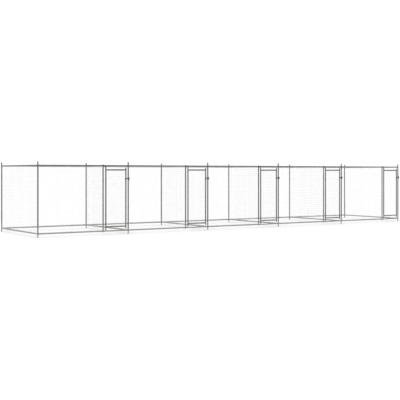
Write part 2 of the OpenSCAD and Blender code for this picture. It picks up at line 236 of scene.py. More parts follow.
def new_group(name, inputs, outputs):
    """A shader node group with named inputs and outputs, and its two end nodes."""
    group = bpy.data.node_groups.new(name, "ShaderNodeTree")
    for label, kind, value in inputs:
        socket = group.interface.new_socket(label, in_out="INPUT", socket_type=kind)
        if value is not None:
            socket.default_value = value
    for label, kind in outputs:
        group.interface.new_socket(label, in_out="OUTPUT", socket_type=kind)
    return group, group.nodes.new("NodeGroupInput"), group.nodes.new("NodeGroupOutput")


def make_spangle():
    """Zinc crystals: a tone from 0 to 1 for each, softened by a patina, and a height for its edges."""
    group, start, end = new_group(
        "zinc_spangle",
        [("Place", "NodeSocketVector", None), ("Crystals per metre", "NodeSocketFloat", 120.0),
         ("Patina", "NodeSocketFloat", 0.5)],
        [("Tone", "NodeSocketFloat"), ("Height", "NodeSocketFloat")])
    cells = add_node(group, "ShaderNodeTexVoronoi", feature="F1", Randomness=0.9)
    edges = add_node(group, "ShaderNodeTexVoronoi", feature="DISTANCE_TO_EDGE", Randomness=0.9)
    cloud = add_node(group, "ShaderNodeTexNoise", Scale=9.0, Detail=4.0, Roughness=0.6)
    grey = add_node(group, "ShaderNodeSeparateColor", mode="RGB")
    mix = add_node(group, "ShaderNodeMix", data_type="FLOAT")
    rise = add_node(group, "ShaderNodeMapRange", From_Max=0.12)
    link = group.links.new
    for texture in (cells, edges):
        link(start.outputs["Place"], texture.inputs["Vector"])
        link(start.outputs["Crystals per metre"], texture.inputs["Scale"])
    link(start.outputs["Place"], cloud.inputs["Vector"])
    link(cells.outputs["Color"], grey.inputs["Color"])
    link(start.outputs["Patina"], mix.inputs["Factor"])
    link(grey.outputs["Red"], mix.inputs["A"])
    link(cloud.outputs["Fac"], mix.inputs["B"])
    link(edges.outputs["Distance"], rise.inputs["Value"])
    link(mix.outputs["Result"], end.inputs["Tone"])
    link(rise.outputs["Result"], end.inputs["Height"])
    return group


SPANGLE = make_spangle()
print("shared effect:", SPANGLE.name)

# %% [markdown]
# Outdoors, rain throws soil up against everything near the ground. It could be painted on, but a mask that
# depends on height alone fits tubes and feet alike: it fades with Z, and a noise breaks it into spots. On the
# feet it carries real soil. On the tubes it also carries a painted sheen: their lighter grey near the ground
# stands in for the bright floor and sky reflected in the low rails' upper faces.

# %% Soil and painted sheen mask group


def make_soil_and_sheen_zone():
    """A mask for soil near the ground, and on the tubes for a painted sheen too: 1 at the ground, broken up, and 0
    above Reach.
    """
    group, start, end = new_group(
        "soil_and_sheen_zone",
        [("Place", "NodeSocketVector", None), ("Reach", "NodeSocketFloat", 0.2)],
        [("Mask", "NodeSocketFloat")])
    split = add_node(group, "ShaderNodeSeparateXYZ")
    fade = add_node(group, "ShaderNodeMapRange", interpolation_type="SMOOTHSTEP", To_Min=1, To_Max=0)
    spots = add_node(group, "ShaderNodeTexNoise", Scale=70.0, Detail=5.0, Roughness=0.7)
    broken = add_node(group, "ShaderNodeMath", operation="MULTIPLY")
    link = group.links.new
    link(start.outputs["Place"], split.inputs["Vector"])
    link(start.outputs["Place"], spots.inputs["Vector"])
    link(split.outputs["Z"], fade.inputs["Value"])
    link(start.outputs["Reach"], fade.inputs["From Max"])
    link(fade.outputs["Result"], broken.inputs[0])
    link(spots.outputs["Fac"], broken.inputs[1])
    link(broken.outputs["Value"], end.inputs["Mask"])
    return group


SOIL_AND_SHEEN_ZONE = make_soil_and_sheen_zone()
print("shared effect:", SOIL_AND_SHEEN_ZONE.name)

# %% [markdown]
# ## One recipe for every zinc surface
# The tubes, wires, rings and fittings are all zinc over steel, so one function builds the material and each
# finish gives its own two greys, crystal size and roughness. The shader is at least half metallic, because
# the white surroundings in its reflection are what makes bare zinc look as it does.

# %% Zinc recipe
SOIL_AND_SHEEN_REACH = 0.25
# Partly real soil and partly painted sheen: this light grey near the ground stands in for the bright floor and sky
# reflected in the low rails.
SOIL_AND_PAINTED_SHEEN = (0.58, 0.565, 0.54)
DARK_AT = 0.2
LIGHT_AT = 0.85


def zinc_finish(name, dark, light, crystals=120.0, patina=0.5, rough=(0.38, 0.6), metallic=0.85,
                bump=0.0002, with_soil_and_sheen=False):
    """A galvanised or zinc-plated material with its own greys, crystal size and roughness range."""
    material, tree = blank_material(name)
    place = add_node(tree, "ShaderNodeTexCoord")
    spangle = add_node(tree, "ShaderNodeGroup", node_tree=SPANGLE, Crystals_per_metre=crystals,
                       Patina=patina)
    ramp = add_node(tree, "ShaderNodeValToRGB")
    for stop, grey, at in zip(ramp.color_ramp.elements, (dark, light), (DARK_AT, LIGHT_AT)):
        stop.color = (*grey, 1)
        stop.position = at
    shine = add_node(tree, "ShaderNodeMapRange", To_Min=rough[1], To_Max=rough[0])
    relief = add_node(tree, "ShaderNodeBump", Strength=0.5, Distance=bump)
    shader = add_node(tree, "ShaderNodeBsdfPrincipled", Metallic=metallic)
    output = add_node(tree, "ShaderNodeOutputMaterial")
    link = tree.links.new
    link(place.outputs["Object"], spangle.inputs["Place"])
    link(spangle.outputs["Tone"], ramp.inputs["Fac"])
    link(spangle.outputs["Tone"], shine.inputs["Value"])
    link(spangle.outputs["Height"], relief.inputs["Height"])
    link(shine.outputs["Result"], shader.inputs["Roughness"])
    link(relief.outputs["Normal"], shader.inputs["Normal"])
    link(shader.outputs["BSDF"], output.inputs["Surface"])
    color = ramp.outputs["Color"]
    # Near the ground the base colour turns to the light soil grey, which is partly real soil and partly a painted
    # sheen on the low rails.
    if with_soil_and_sheen:
        near_ground = add_node(tree, "ShaderNodeGroup", node_tree=SOIL_AND_SHEEN_ZONE, Reach=SOIL_AND_SHEEN_REACH)
        soil_and_sheen_mix = add_node(tree, "ShaderNodeMix", data_type="RGBA", B=(*SOIL_AND_PAINTED_SHEEN, 1))
        link(place.outputs["Object"], near_ground.inputs["Place"])
        link(near_ground.outputs["Mask"], soil_and_sheen_mix.inputs["Factor"])
        link(color, soil_and_sheen_mix.inputs["A"])
        color = soil_and_sheen_mix.outputs["Result"]
    link(color, shader.inputs["Base Color"])
    return material


print("zinc recipe: greys at", DARK_AT, "and", LIGHT_AT, "of the spangle's tone")

# %% [markdown]
# The greys come from the photograph, where the tubes are a mid grey against the white and the fine mesh
# hardly darkens it. The tubes have weathered most, so they are the least metallic, and only they get the
# light grey near the ground, which is partly real soil and partly a painted sheen on the low rails.

# %% Zinc finishes
TUBE_ZINC = zinc_finish("galvanised_tube", (0.082, 0.086, 0.085), (0.15, 0.154, 0.152),
                        crystals=170, metallic=0.5, with_soil_and_sheen=True)
WIRE_ZINC = zinc_finish("bright_mesh_wire", (0.53, 0.54, 0.54), (0.82, 0.83, 0.83),
                        crystals=300, patina=0.7, rough=(0.3, 0.5), bump=0.0001)
RING_ZINC = zinc_finish("tie_ring_wire", (0.2, 0.205, 0.205), (0.34, 0.345, 0.345),
                        crystals=260, patina=0.6, rough=(0.3, 0.5), bump=0.0001)
FITTING_ZINC = zinc_finish("zinc_plated_fitting", (0.17, 0.175, 0.18), (0.3, 0.305, 0.31),
                           crystals=60, patina=0.85, rough=(0.25, 0.42), metallic=0.95, bump=0.00005)
LATCH_ZINC = zinc_finish("dulled_latch_zinc", (0.09, 0.092, 0.096), (0.165, 0.168, 0.172),
                         crystals=60, patina=0.85, rough=(0.3, 0.5), metallic=0.7, bump=0.00005)
WELD_ZINC = zinc_finish("weld_under_zinc_paint", (0.14, 0.14, 0.138), (0.25, 0.25, 0.245),
                        crystals=420, patina=0.8, rough=(0.55, 0.75), metallic=0.6, bump=0.0003)
print("zinc finishes:", [material.name for material in
                         (TUBE_ZINC, WIRE_ZINC, RING_ZINC, FITTING_ZINC, LATCH_ZINC, WELD_ZINC)])

# %% [markdown]
# ## Moulded feet
# The posts stand on plastic feet. Injection-moulded plastic is matt where the mould was spark-textured, and
# dirt settles in that texture. A fine noise in the roughness and the relief gives it, and the shared splash
# zone brings the soil.

# %% Foot plastic
FOOT_SOIL_REACH = 0.03


def moulded_plastic(name, color, soil):
    """Matt black plastic with a fine moulded texture and soil near the ground."""
    material, tree = blank_material(name)
    place = add_node(tree, "ShaderNodeTexCoord")
    grain = add_node(tree, "ShaderNodeTexNoise", Scale=900.0, Detail=3.0)
    near_ground = add_node(tree, "ShaderNodeGroup", node_tree=SOIL_AND_SHEEN_ZONE, Reach=FOOT_SOIL_REACH)
    mix = add_node(tree, "ShaderNodeMix", data_type="RGBA", A=(*color, 1), B=(*soil, 1))
    rough = add_node(tree, "ShaderNodeMapRange", To_Min=0.55, To_Max=0.75)
    relief = add_node(tree, "ShaderNodeBump", Strength=0.4, Distance=0.0001)
    shader = add_node(tree, "ShaderNodeBsdfPrincipled", Metallic=0.0)
    output = add_node(tree, "ShaderNodeOutputMaterial")
    link = tree.links.new
    link(place.outputs["Object"], grain.inputs["Vector"])
    link(place.outputs["Object"], near_ground.inputs["Place"])
    link(near_ground.outputs["Mask"], mix.inputs["Factor"])
    link(grain.outputs["Fac"], rough.inputs["Value"])
    link(grain.outputs["Fac"], relief.inputs["Height"])
    link(mix.outputs["Result"], shader.inputs["Base Color"])
    link(rough.outputs["Result"], shader.inputs["Roughness"])
    link(relief.outputs["Normal"], shader.inputs["Normal"])
    link(shader.outputs["BSDF"], output.inputs["Surface"])
    return material


FOOT_PLASTIC = moulded_plastic("foot_plastic", (0.03, 0.03, 0.032), (0.2, 0.17, 0.13))
print("feet:", FOOT_PLASTIC.name)

# %% [markdown]
# ## Reading the frame's own pieces
# Rings, screws and hinge parts come many to a node. Their places could be typed in again, but then they
# would part company with the CAD the first time a size changed. Instead a copy of the node's mesh is merged
# and walked from vertex to vertex, which splits it into its loose solids. The box of each one says where it
# is and which way it lies.

# %% Boxes of the loose solids in a CAD node
MERGE = 1e-5


def solid_boxes(name):
    """(lowest corner, highest corner) of every separate solid in a CAD node."""
    bm = bmesh.new()
    bm.from_mesh(nodes[name].data)
    bmesh.ops.remove_doubles(bm, verts=bm.verts[:], dist=MERGE)
    boxes = []
    seen = set()
    for seed in bm.verts:
        if seed in seen:
            continue
        seen.add(seed)
        front = [seed]
        low, high = seed.co.copy(), seed.co.copy()
        while front:
            vert = front.pop()
            low = Vector(map(min, low, vert.co))
            high = Vector(map(max, high, vert.co))
            for edge in vert.link_edges:
                other = edge.other_vert(vert)
                if other not in seen:
                    seen.add(other)
                    front.append(other)
        boxes.append((low, high))
    bm.free()
    return boxes


BAYS = len([name for name in nodes if name.startswith("gate_post_")])
post_boxes = sorted(solid_boxes("front_posts"), key=lambda box: box[0].x)
post_x = [(low.x + high.x) / 2 for low, high in post_boxes]
low, high = post_boxes[0]
TUBE_R = (high.x - low.x) / 2
FRONT_Y = (low.y + high.y) / 2
print("kennels:", BAYS, "posts at", [round(x, 3) for x in post_x], "tube radius", round(TUBE_R, 5))

# %% [markdown]
# ## Building with bmesh
# Every new piece starts as one small shape from an operator, is placed by a matrix, and joins its like in
# one mesh. make_piece turns a finished bmesh into a piece: it recalculates the normals, so that every face
# looks outwards, smooths them, names the material, and makes it ride on its body.

# %% Making a piece from a bmesh


def only(items, kind):
    """Those of an operator's results that are of one kind, such as vertices."""
    return [item for item in items if isinstance(item, kind)]


def bevel_edges(bm, edges, width, steps, clamp=False):
    """Rounds edges off, or cuts them off flat where there is one step."""
    bmesh.ops.bevel(bm, geom=edges, offset=width, offset_type="OFFSET", segments=steps, profile=0.5,
                    affect="EDGES", clamp_overlap=clamp, material=-1)


def make_piece(name, bm, material, body, flat_above=math.radians(40)):
    """Finishes a bmesh as an object at the origin that rides on a CAD body."""
    bmesh.ops.recalc_face_normals(bm, faces=bm.faces[:])
    for face in bm.faces:
        face.smooth = True
    for edge in bm.edges:
        edge.smooth = not (len(edge.link_faces) == 2 and edge.calc_face_angle() > flat_above)
    mesh = bpy.data.meshes.new(name)
    bm.to_mesh(mesh)
    bm.free()
    mesh.materials.append(material)
    piece = bpy.data.objects.new(name, mesh)
    bpy.context.scene.collection.objects.link(piece)
    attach(piece, body)
    return piece


def place_copy(target, part, matrix):
    """Adds a copy of one bmesh to another, moved by a matrix."""
    stamp = bpy.data.meshes.new("stamp")
    part.to_mesh(stamp)
    stamp.transform(matrix)
    target.from_mesh(stamp)
    bpy.data.meshes.remove(stamp)


def turn_to(direction):
    """The matrix that turns +Z to a direction."""
    return Vector(direction).to_track_quat("Z", "Y").to_matrix().to_4x4()


print("helpers ready: only, bevel_edges, make_piece, place_copy, turn_to")

# %% [markdown]
# ## Tie rings
# The mesh is hung on the tubes with rings of soft wire, closed around tube and mesh edge with ring pliers.
# The CAD model has each one as a perfect closed torus. A real ring is a cut length of wire whose two ends
# don't quite meet. Spinning a small circle not quite all the way round makes that, and with a few sides
# only, since there are nearly two hundred of them. Each ring is turned further than the last, so the gaps
# don't line up.

# %% Tie rings from a partial spin
RING_SIDES = 6
RING_STEPS = 16
RING_OPEN = math.radians(7)
RING_TWIST = math.radians(47)
QUARTER_X = Matrix.Rotation(math.radians(90), 4, "X")


def tie_ring(radius, wire_r):
    """An open wire ring about +Z, with its two ends on the +X side."""
    bm = bmesh.new()
    bmesh.ops.create_circle(bm, cap_ends=False, segments=RING_SIDES, radius=wire_r,
                            matrix=Matrix.Translation((radius, 0, 0)) @ QUARTER_X)
    bmesh.ops.spin(bm, geom=bm.verts[:] + bm.edges[:], axis=(0, 0, 1), cent=(0, 0, 0),
                   angle=math.tau - RING_OPEN, steps=RING_STEPS, use_merge=False, use_duplicate=False)
    bmesh.ops.holes_fill(bm, edges=[e for e in bm.edges if e.is_boundary], sides=RING_SIDES)
    return bm


def ring_place(box):
    """Matrix, radius and wire radius of the ring whose box this is."""
    low, high = box
    size = high - low
    across = min(range(3), key=lambda k: size[k])
    axis = Vector([1.0 if k == across else 0.0 for k in range(3)])
    wire_r = size[across] / 2
    radius = max(size) / 2 - wire_r
    return Matrix.Translation((low + high) / 2) @ turn_to(axis), radius, wire_r


def tie_rings(node, body):
    """Replaces a CAD node of closed rings by formed ones."""
    bm = bmesh.new()
    shapes = {}
    for k, box in enumerate(solid_boxes(node)):
        matrix, radius, wire_r = ring_place(box)
        key = (round(radius, 4), round(wire_r, 5))
        if key not in shapes:
            shapes[key] = tie_ring(radius, wire_r)
        place_copy(bm, shapes[key], matrix @ Matrix.Rotation(k * RING_TWIST, 4, "Z"))
    for shape in shapes.values():
        shape.free()
    piece = make_piece(node + "_formed", bm, RING_ZINC, body)
    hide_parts(node)
    return piece


ring_nodes = [(name, "frame") for name in ("front_mesh_rings", "back_mesh_rings", "side_mesh_rings")]
ring_nodes += [(f"gate_mesh_rings_{i}", f"gate_{i}") for i in range(1, BAYS + 1)]
for node, body in ring_nodes:
    piece = tie_rings(node, body)
    print(piece.name, len(piece.data.polygons), "faces")

# %% [markdown]
# ## Screws that pin the rails
# Each rail is pinned to its socket by a self-tapping screw. The CAD solid is a plain disc on a shank. The
# real head is a hexagon on a round flange, so that it can be driven with a nut driver. A six-sided circle,
# extruded and bevelled, makes the hexagon, and a short cone makes the flange.

# %% Hexagon flange screws
SCREW_SIDES = 18
SHANK_SIDES = 8
HEAD_SHARE = 0.6
SHANK_SHARE = 0.5
POINT_SHARE = 0.5
FLANGE_SHARE = 0.3
FLANGE_TOP = 0.88
HEX_SHARE = 0.78
HEX_BREAK = 0.09


def hex_flange_screw(head_r, head_h, shank_r, length):
    """A screw along +Z whose flange's underside is at the origin and whose head points up."""
    flange_h = FLANGE_SHARE * head_h
    mid_flange = Matrix.Translation((0, 0, flange_h / 2))
    bm = bmesh.new()
    bmesh.ops.create_cone(bm, cap_ends=True, segments=SCREW_SIDES, radius1=head_r,
                          radius2=FLANGE_TOP * head_r, depth=flange_h, matrix=mid_flange)
    hexagon = bmesh.ops.create_circle(bm, cap_ends=True, segments=6, radius=HEX_SHARE * head_r,
                                      matrix=mid_flange)
    top = list(dict.fromkeys(face for vert in hexagon["verts"] for face in vert.link_faces))
    lifted = bmesh.ops.extrude_face_region(bm, geom=top)
    verts = only(lifted["geom"], bmesh.types.BMVert)
    bmesh.ops.translate(bm, verts=verts, vec=(0, 0, head_h - flange_h / 2))
    rim = [edge for edge in bm.edges if all(vert in verts for vert in edge.verts)]
    bevel_edges(bm, rim, HEX_BREAK * head_r, 1)
    bmesh.ops.create_cone(bm, cap_ends=True, segments=SHANK_SIDES, radius1=POINT_SHARE * shank_r,
                          radius2=shank_r, depth=length, matrix=Matrix.Translation((0, 0, -length / 2)))
    return bm


MID_Z = sum(corner.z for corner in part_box("side_rails")) / 2
UPSIDE_DOWN = Matrix.Rotation(math.pi, 4, "X")
screw_boxes = solid_boxes("rail_screws")
low, high = screw_boxes[0]
screw_r = (high.x - low.x) / 2
screw_h = HEAD_SHARE * screw_r
screw = hex_flange_screw(screw_r, screw_h, SHANK_SHARE * screw_r, high.z - low.z - screw_h)
bm = bmesh.new()
for low, high in screw_boxes:
    upper = (low.z + high.z) / 2 > MID_Z
    seat_z = high.z - screw_h if upper else low.z + screw_h
    seat = Matrix.Translation(((low.x + high.x) / 2, (low.y + high.y) / 2, seat_z))
    place_copy(bm, screw, seat if upper else seat @ UPSIDE_DOWN)
screw.free()
screws = make_piece("rail_screws_hex", bm, FITTING_ZINC, "frame", math.radians(30))
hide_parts("rail_screws")
print("screws:", len(screw_boxes), "faces:", len(screws.data.polygons))

# %% [markdown]
# ## Hinge pins and bushes
# The photograph shows no hinge beside the gate, only a hinge stile that comes much closer to the rails than
# the latch stile does. That is how a gate on pins looks: a pin stands on the lower rail, another hangs
# from the upper one, and the stile has a bored bush in each end. Pins and bushes are turned on a lathe, so
# each one here is a profile of a few points, spun once around its axis. The foot of the pin is not flat: it
# is ground to sit on a round rail, so each of its lowest points drops by R - sqrt(R * R - y * y).

# %% Hinge pins from a spun profile
TURN_STEPS = 40
TINY = 1e-6


def turned(profile, closed=False):
    """A lathe-turned solid about Z from its half profile of (radius, height) points."""
    bm = bmesh.new()
    points = [bm.verts.new((r, 0, z)) for r, z in profile]
    for k in range(len(points) - 1):
        bm.edges.new((points[k], points[k + 1]))
    if closed:
        bm.edges.new((points[-1], points[0]))
    bmesh.ops.spin(bm, geom=bm.verts[:] + bm.edges[:], axis=(0, 0, 1), cent=(0, 0, 0), angle=math.tau,
                   steps=TURN_STEPS, use_merge=True, use_duplicate=False)
    bmesh.ops.remove_doubles(bm, verts=bm.verts[:], dist=TINY)
    return bm


PIN_R = 0.005
COLLAR_R = 0.008
COLLAR_T = 0.002
SEAT = 0.0003
BREAK = 0.0005
rail_low, rail_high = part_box("front_rails")
rail_crowns = {True: rail_high.z - 2 * TUBE_R, False: rail_low.z + 2 * TUBE_R}
pins = solid_boxes("hinge_pintles")
pin_l = min(pins, key=lambda box: box[0].z)[1].z - rail_crowns[False]
eye_low, eye_high = min(solid_boxes("gate_hinge_eyes_1"), key=lambda box: box[0].z)
collar_z = eye_low.z - rail_crowns[False] - SEAT - COLLAR_T
collar_top = collar_z + COLLAR_T
pin = turned([(0, 0), (PIN_R, 0), (PIN_R, collar_z), (COLLAR_R - BREAK, collar_z),
              (COLLAR_R, collar_z + BREAK), (COLLAR_R, collar_top - BREAK), (COLLAR_R - BREAK, collar_top),
              (PIN_R, collar_top), (PIN_R, pin_l - 2 * BREAK), (PIN_R - 2 * BREAK, pin_l), (0, pin_l)])
for vert in pin.verts:
    if vert.co.z < BREAK:
        vert.co.z = SEAT + math.sqrt(TUBE_R ** 2 - vert.co.y ** 2) - TUBE_R
bm = bmesh.new()
for low, high in pins:
    upper = low.z > MID_Z
    foot = Matrix.Translation(((low.x + high.x) / 2, FRONT_Y, rail_crowns[upper]))
    place_copy(bm, pin, foot @ UPSIDE_DOWN if upper else foot)
turned_pins = make_piece("hinge_pins_turned", bm, FITTING_ZINC, "frame")
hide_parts("hinge_pintles")
pin.free()
print("pins:", len(pins), "of length", round(pin_l, 4))

# %% [markdown]
# The bush that turns on the pin has a stem inside the stile and a rim that closes the stile's end. Its
# profile doesn't touch the axis. The last point is joined to the first, and the spin makes a ring with a
# bore through it.

# %% Bushes in the stile's ends
BORE_R = 0.0053
STEM_R = 0.0107
RIM_T = 0.002
eye_l = eye_high.z - eye_low.z
bush = turned([(BORE_R, BREAK), (BORE_R + BREAK, 0), (TUBE_R - BREAK, 0), (TUBE_R, BREAK), (TUBE_R, RIM_T),
               (STEM_R, RIM_T), (STEM_R, eye_l), (BORE_R, eye_l)], closed=True)
for i in range(1, BAYS + 1):
    bm = bmesh.new()
    for low, high in solid_boxes(f"gate_hinge_eyes_{i}"):
        upper = low.z > MID_Z
        foot = Matrix.Translation(((low.x + high.x) / 2, FRONT_Y, high.z if upper else low.z))
        place_copy(bm, bush, foot @ UPSIDE_DOWN if upper else foot)
    piece = make_piece(f"stile_bushes_{i}", bm, FITTING_ZINC, f"gate_{i}")
    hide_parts(f"gate_hinge_eyes_{i}")
bush.free()
print("bushes:", 2 * BAYS, "of length", round(eye_l, 4))

# %% [markdown]
# ## Working flat steel
# The latch is made of flat steel, cut out, drilled and bent. An outline starts as a few vertices, and an
# arc in it is spun from one vertex. triangle_fill closes an outline around its holes, which a plain face
# can't do, and an extrude gives it the plate's thickness.

# %% Outlines and plates


def chain(bm, points, start=None, end=None):
    """Edges through new vertices at the points, from a start vertex to an end vertex where given."""
    run = [start] if start else []
    run += [bm.verts.new(point) for point in points]
    run += [end] if end else []
    for a, b in zip(run, run[1:]):
        bm.edges.new((a, b))


def arc(bm, point, axis, angle, steps):
    """Spins one vertex into an arc about the origin and returns the arc's two end vertices."""
    first = bm.verts.new(point)
    spun = bmesh.ops.spin(bm, geom=[first], axis=axis, cent=(0, 0, 0), angle=angle, steps=steps,
                          use_merge=False, use_duplicate=False)
    return first, only(spun["geom_last"], bmesh.types.BMVert)[0]


def thicken(bm, offset):
    """Turns a flat outline, with its holes, into a plate by filling and extruding it."""
    bmesh.ops.triangle_fill(bm, use_beauty=True, use_dissolve=False, edges=bm.edges[:])
    made = bmesh.ops.extrude_face_region(bm, geom=bm.faces[:])
    bmesh.ops.translate(bm, verts=only(made["geom"], bmesh.types.BMVert), vec=offset)


print("outlines and plates: chain, arc, thicken")

# %% [markdown]
# An open end is pushed on by an extrude, or spun round an axis as a press brake bends it. Once it is closed
# its corners are rounded, and a small bevel breaks every sharp edge.

# %% Bends and edges
BEND_STEPS = 6
CORNER_STEPS = 4
SHARP = math.radians(35)
PARALLEL = 0.9


def push(bm, loop, offset):
    """Extrudes an open end by an offset and returns the new end."""
    made = bmesh.ops.extrude_edge_only(bm, edges=loop)
    verts = only(made["geom"], bmesh.types.BMVert)
    bmesh.ops.translate(bm, verts=verts, vec=offset)
    return [edge for edge in only(made["geom"], bmesh.types.BMEdge) if all(v in verts for v in edge.verts)]


def bend(bm, loop, cent, axis, angle):
    """Spins an open end through an angle and returns the new end."""
    verts = list(dict.fromkeys(vert for edge in loop for vert in edge.verts))
    spun = bmesh.ops.spin(bm, geom=verts + loop, axis=axis, cent=cent, angle=angle, steps=BEND_STEPS,
                          use_merge=False, use_duplicate=False)
    return only(spun["geom_last"], bmesh.types.BMEdge)


def cap_end(bm, loop, corner, along):
    """Closes an open end and rounds the corners whose edges run along the given axis."""
    face = bmesh.ops.contextual_create(bm, geom=loop)["faces"][0]
    short = [e for e in face.edges
             if abs((e.verts[0].co - e.verts[1].co).normalized()[along]) > PARALLEL]
    bevel_edges(bm, short, corner, CORNER_STEPS)


def break_edges(bm, width):
    """A small bevel on every sharp edge, as tumbled or dipped steel has."""
    bmesh.ops.recalc_face_normals(bm, faces=bm.faces[:])
    sharp = [e for e in bm.edges if len(e.link_faces) == 2 and e.calc_face_angle() > SHARP]
    bevel_edges(bm, sharp, width, 2, clamp=True)


print("bends and edges: push, bend, cap_end, break_edges")

# %% [markdown]
# ## The latch's drop bar
# A drop bar has a hub around its pivot hole, a blunt tip that falls into the hook, and a tail bent forward
# as a finger tab. Its own shape is easiest to give flat and level about the pivot. The angle at which it
# rests, held up over the hook's lip, is a turn about that pivot afterwards.

# %% Drop bars
BAR_T = 0.005
BAR_HALF = 0.011
BAR_TIP = 0.075
BAR_TAIL = 0.031
HUB_R = 0.015
HUB_STEPS = 10
HOLE_SIDES = 24
BEND_R = 0.002
TAB_REACH = 0.02
TAB_CORNER = 0.005
REST_LIFT = math.radians(21)


def drop_bar():
    """The bar in the XZ plane about its pivot, its back face at y = 0 and its tip towards +X."""
    bm = bmesh.new()
    reach = math.sqrt(HUB_R ** 2 - BAR_HALF ** 2)
    sweep = -2 * math.asin(reach / HUB_R)
    low_start, low_end = arc(bm, (-reach, 0, -BAR_HALF), (0, 1, 0), sweep, HUB_STEPS)
    high_start, high_end = arc(bm, (reach, 0, BAR_HALF), (0, 1, 0), sweep, HUB_STEPS)
    chain(bm, [(BAR_TIP - BAR_HALF, 0, -BAR_HALF), (BAR_TIP, 0, -BAR_HALF / 3), (BAR_TIP, 0, BAR_HALF / 3),
               (BAR_TIP - BAR_HALF, 0, BAR_HALF)], low_end, high_start)
    chain(bm, [(-BAR_TAIL, 0, BAR_HALF), (-BAR_TAIL, 0, -BAR_HALF)], high_end, low_start)
    bmesh.ops.create_circle(bm, cap_ends=False, segments=HOLE_SIDES, radius=BORE_R, matrix=QUARTER_X)
    thicken(bm, (0, -BAR_T, 0))
    end = [f for f in bm.faces if all(abs(v.co.x + BAR_TAIL) < TINY for v in f.verts)]
    loop = [edge for face in end for edge in face.edges if sum(f in end for f in edge.link_faces) == 1]
    bmesh.ops.delete(bm, geom=end, context="FACES_ONLY")
    loop = bend(bm, loop, (-BAR_TAIL, -BAR_T - BEND_R, 0), (0, 0, 1), math.radians(90))
    loop = push(bm, loop, (0, BAR_T + BEND_R - TAB_REACH, 0))
    cap_end(bm, loop, TAB_CORNER, 0)
    break_edges(bm, BREAK)
    return bm


bar = drop_bar()
joints = {joint["name"]: Vector(joint["pos_m"]) for joint in frame["joints"]}
LATCH_Z = joints["latch_lift_1"].z
BACK_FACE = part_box("latch_bar_1")[1].y
at_rest = Matrix.Rotation(-REST_LIFT, 4, "Y")
for i in range(1, BAYS + 1):
    pivot = joints[f"latch_lift_{i}"]
    bm = bmesh.new()
    place_copy(bm, bar, Matrix.Translation((pivot.x, BACK_FACE, pivot.z)) @ at_rest)
    piece = make_piece(f"drop_bar_{i}", bm, LATCH_ZINC, f"latch_{i}")
    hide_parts(f"latch_bar_{i}")
BAR_BACK = FRONT_Y - BACK_FACE
bar.free()
print("drop bars:", BAYS, "with", len(piece.data.polygons), "faces each, back at", round(BAR_BACK, 5))

# %% [markdown]
# ## Rivet heads
# The latch's pin ends in a head that was hammered round over the bar. It is one more turned profile: a
# short straight side, then a quarter circle flattened to the height of the dome. It covers the plain disc
# of the CAD model.

# %% Domed rivet heads
HEAD_R = 0.0084
HEAD_SIDE = 0.0033
HEAD_DOME = 0.0022
DOME_POINTS = 6
climb = [k / DOME_POINTS * math.pi / 2 for k in range(DOME_POINTS)]
dome = [(HEAD_R * math.cos(a), HEAD_SIDE + HEAD_DOME * math.sin(a)) for a in climb]
head = turned([(0, 0), (HEAD_R, 0)] + dome + [(0, HEAD_SIDE + HEAD_DOME)])
for i in range(1, BAYS + 1):
    pivot = joints[f"latch_lift_{i}"]
    spot = Matrix.Translation((pivot.x, FRONT_Y - BAR_BACK - BAR_T - 0.5 * SEAT, pivot.z))
    bm = bmesh.new()
    place_copy(bm, head, spot @ turn_to((0, -1, 0)))
    make_piece(f"rivet_head_{i}", bm, LATCH_ZINC, f"gate_{i}")
head.free()
print("rivet heads:", BAYS)

# %% [markdown]
# ## Keepers
# The keeper is a plate welded to the post, and a strip of it is bent forward and up as the hook that holds
# the bar. The plate's outline is drawn from above, where the saddle that fits the round post is a spun
# arc, and then extruded to its height.

# %% Keeper plate
KEEPER_T = 0.004
KEEPER_TALL = 0.06
KEEPER_LEFT = 0.009
KEEPER_RIGHT = 0.018
COPE_STEPS = 12
COPE_R = TUBE_R + SEAT
KEEPER_FRONT = -COPE_R - KEEPER_T


def keeper_plate():
    """The plate about its post's axis, with its back coped to fit the post and its middle at z = 0."""
    bm = bmesh.new()
    side = -math.sqrt(COPE_R ** 2 - KEEPER_LEFT ** 2)
    sweep = -2 * math.asin(KEEPER_LEFT / COPE_R)
    z = -KEEPER_TALL / 2
    start, end = arc(bm, (KEEPER_LEFT, side, z), (0, 0, 1), sweep, COPE_STEPS)
    chain(bm, [(-KEEPER_LEFT, KEEPER_FRONT, z), (KEEPER_RIGHT, KEEPER_FRONT, z),
               (KEEPER_RIGHT, -COPE_R, z), (KEEPER_LEFT, -COPE_R, z)], end, start)
    thicken(bm, (0, 0, KEEPER_TALL))
    corners = [e for e in bm.edges if all(v.co.x > KEEPER_RIGHT - BREAK for v in e.verts)
               and abs(e.verts[0].co.y - e.verts[1].co.y) > PARALLEL * KEEPER_T]
    bevel_edges(bm, corners, TAB_CORNER, CORNER_STEPS)
    break_edges(bm, BREAK)
    return bm


plate = keeper_plate()
print("keeper plate:", len(plate.faces), "faces")

# %% [markdown]
# The hook starts as a rectangle inside the plate. It is pushed forward under the bar, bent, and pushed up
# in front of it, and the corners of its lip are rounded.

# %% Hooks, and keepers on the posts
HOOK_W = 0.018
HOOK_PLAY = 0.0008
HOOK_TOP = 0.006
LIP_CORNER = 0.004


